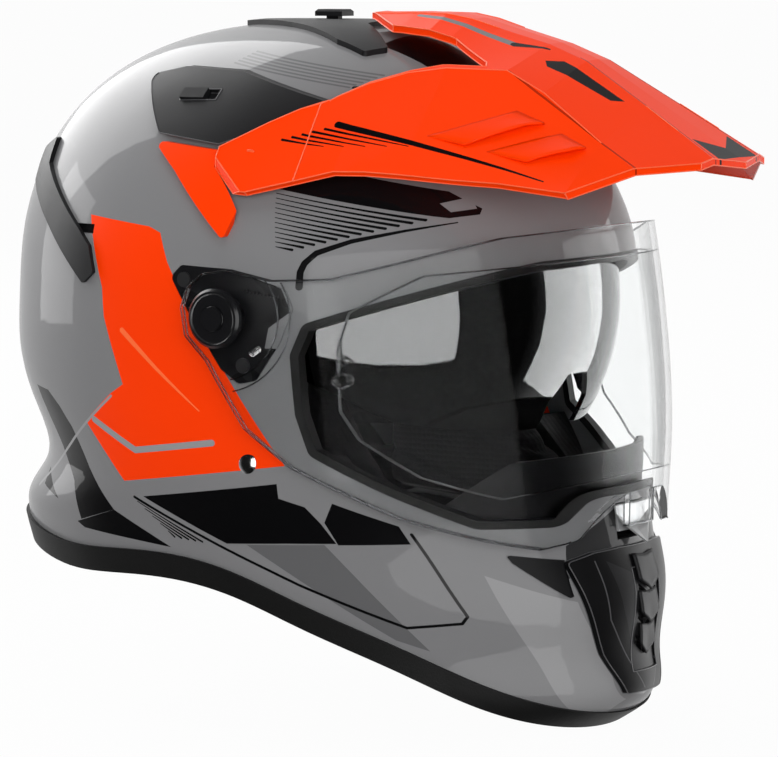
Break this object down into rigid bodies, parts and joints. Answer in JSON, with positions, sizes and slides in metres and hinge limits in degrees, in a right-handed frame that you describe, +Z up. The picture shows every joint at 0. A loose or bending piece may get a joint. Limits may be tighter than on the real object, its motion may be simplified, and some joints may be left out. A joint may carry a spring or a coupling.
{
  "type": "dual sport helmet",
  "caption": "Full-face dual sport helmet with a sun peak, a clear lifting visor, a drop-down smoked sun visor, sliding vents, foam and fabric linings, and a D-ring chin strap.",
  "frame": {"origin": "on the mid-plane in the middle of the head cavity, level with the visor pivots, 18 mm behind them", "axes": "+X forward, out of the eye port, +Y to the wearer's left, +Z up, in the attitude in which it is worn"},
  "size_m": [0.3404, 0.2728, 0.3067],
  "materials": {
    "shell_paint": "satin grey paint with graphics",
    "peak_paint": "glossy orange",
    "black_plastic": "satin black moulding",
    "grey_plastic": "satin grey moulding",
    "rubber_trim": "matte black rubber",
    "foam": "expanded foam",
    "lining": "brushed knit lining",
    "webbing": "woven webbing",
    "red_webbing": "woven webbing",
    "clear_lens": "clear polycarbonate",
    "smoked_lens": "dark smoked polycarbonate",
    "bright_steel": "bright steel",
    "silver_tab": "silver paint",
    "mesh": "fine black mesh"
  },
  "bodies": {
    "helmet": {"outer_shell": "shell_paint", "eps_crown": "foam", "eps_chin": "foam", "comfort_liner": "lining", "neck_roll": "lining", "lower_rim_trim": "rubber_trim", "eye_port_seal": "rubber_trim", "chin_curtain": "lining", "breath_guard": "black_plastic", "cheek_pad_left": "lining", "cheek_pad_right": "lining", "cheek_core_left": "foam", "cheek_core_right": "foam", "pull_tab_left": "red_webbing", "pull_tab_right": "red_webbing", "pivot_base_left": "black_plastic", "pivot_base_right": "black_plastic", "pivot_base_screws": "bright_steel", "peak_bracket_left": "peak_paint", "peak_bracket_right": "peak_paint", "side_vent_cover_left": "black_plastic", "side_vent_cover_right": "black_plastic", "rear_vent_left": "black_plastic", "rear_vent_right": "black_plastic", "chin_inlay_left": "black_plastic", "chin_inlay_right": "black_plastic", "top_vent_housing": "black_plastic", "chin_vent_frame": "black_plastic", "chin_vent_grille": "grey_plastic", "chin_vent_mesh": "mesh", "strap_rivets": "bright_steel", "chin_strap_left": "webbing", "chin_strap_right": "webbing", "strap_snap": "bright_steel", "sun_visor_clips": "bright_steel", "sun_visor_cable": "black_plastic"},
    "visor": {"clear_visor": "clear_lens", "fog_insert": "clear_lens", "fog_insert_pins": "clear_lens"},
    "sun_visor": {"sun_visor": "smoked_lens"},
    "sun_visor_slider": {"sun_visor_slider": "black_plastic"},
    "peak": {"peak": "peak_paint"},
    "top_vent_slider": {"top_vent_slider": "black_plastic"},
    "side_vent_slider_left": {"side_vent_slider_left": "black_plastic"},
    "side_vent_slider_right": {"side_vent_slider_right": "black_plastic"},
    "chin_vent_tab": {"chin_vent_tab": "silver_tab"},
    "visor_knob_left": {"visor_knob_left": "black_plastic"},
    "visor_knob_right": {"visor_knob_right": "black_plastic"},
    "knob_button_left": {"knob_button_left": "black_plastic"},
    "knob_button_right": {"knob_button_right": "black_plastic"},
    "strap_ring_upper": {"strap_ring_upper": "bright_steel"},
    "strap_ring_lower": {"strap_ring_lower": "bright_steel"}
  },
  "joints": [
    {"name": "visor_hinge", "type": "hinge", "parent": "helmet", "child": "visor", "pos_m": [0.018, 0, 0], "axis": [0, -1, 0], "range_deg": [0, 42]},
    {"name": "sun_visor_hinge", "type": "hinge", "parent": "helmet", "child": "sun_visor", "pos_m": [0.018, 0, 0], "axis": [0, -1, 0], "range_deg": [0, 45]},
    {"name": "sun_visor_slide", "type": "slide", "parent": "helmet", "child": "sun_visor_slider", "axis": [1, 0, 0], "range_m": [0, 0.0205]},
    {"name": "peak_tilt", "type": "hinge", "parent": "helmet", "child": "peak", "pos_m": [0.02, 0, 0.066], "axis": [0, -1, 0], "range_deg": [0, 5]},
    {"name": "top_vent_slide", "type": "slide", "parent": "helmet", "child": "top_vent_slider", "axis": [-1, 0, 0], "range_m": [0, 0.006]},
    {"name": "side_vent_slide_left", "type": "slide", "parent": "helmet", "child": "side_vent_slider_left", "axis": [1, 0, 0], "range_m": [0, 0.006]},
    {"name": "side_vent_slide_right", "type": "slide", "parent": "helmet", "child": "side_vent_slider_right", "axis": [1, 0, 0], "range_m": [0, 0.006]},
    {"name": "chin_vent_slide", "type": "slide", "parent": "helmet", "child": "chin_vent_tab", "axis": [0, 0, -1], "range_m": [0, 0.003]},
    {"name": "visor_knob_turn_left", "type": "hinge", "parent": "helmet", "child": "visor_knob_left", "pos_m": [0.018, 0.1336, 0], "axis": [0, 1, 0], "range_deg": [0, 90]},
    {"name": "visor_knob_turn_right", "type": "hinge", "parent": "helmet", "child": "visor_knob_right", "pos_m": [0.018, -0.1336, 0], "axis": [0, -1, 0], "range_deg": [0, 90]},
    {"name": "knob_button_press_left", "type": "slide", "parent": "visor_knob_left", "child": "knob_button_left", "axis": [0, -1, 0], "range_m": [0, 0.0012], "stiffness_N_per_m": 500, "springref_m": -0.002},
    {"name": "knob_button_press_right", "type": "slide", "parent": "visor_knob_right", "child": "knob_button_right", "axis": [0, 1, 0], "range_m": [0, 0.0012], "stiffness_N_per_m": 500, "springref_m": -0.002},
    {"name": "ring_upper_swing", "type": "hinge", "parent": "helmet", "child": "strap_ring_upper", "pos_m": [0.019, 0.0588, -0.1044], "axis": [-1, 0, 0], "range_deg": [0, 55]},
    {"name": "ring_lower_swing", "type": "hinge", "parent": "helmet", "child": "strap_ring_lower", "pos_m": [0.019, 0.0588, -0.11208], "axis": [1, 0, 0], "range_deg": [0, 55]}
  ],
  "couplings": [
    {"joint": "sun_visor_slide", "follows": "sun_visor_hinge", "m_per_rad": 0.02546}
  ]
}
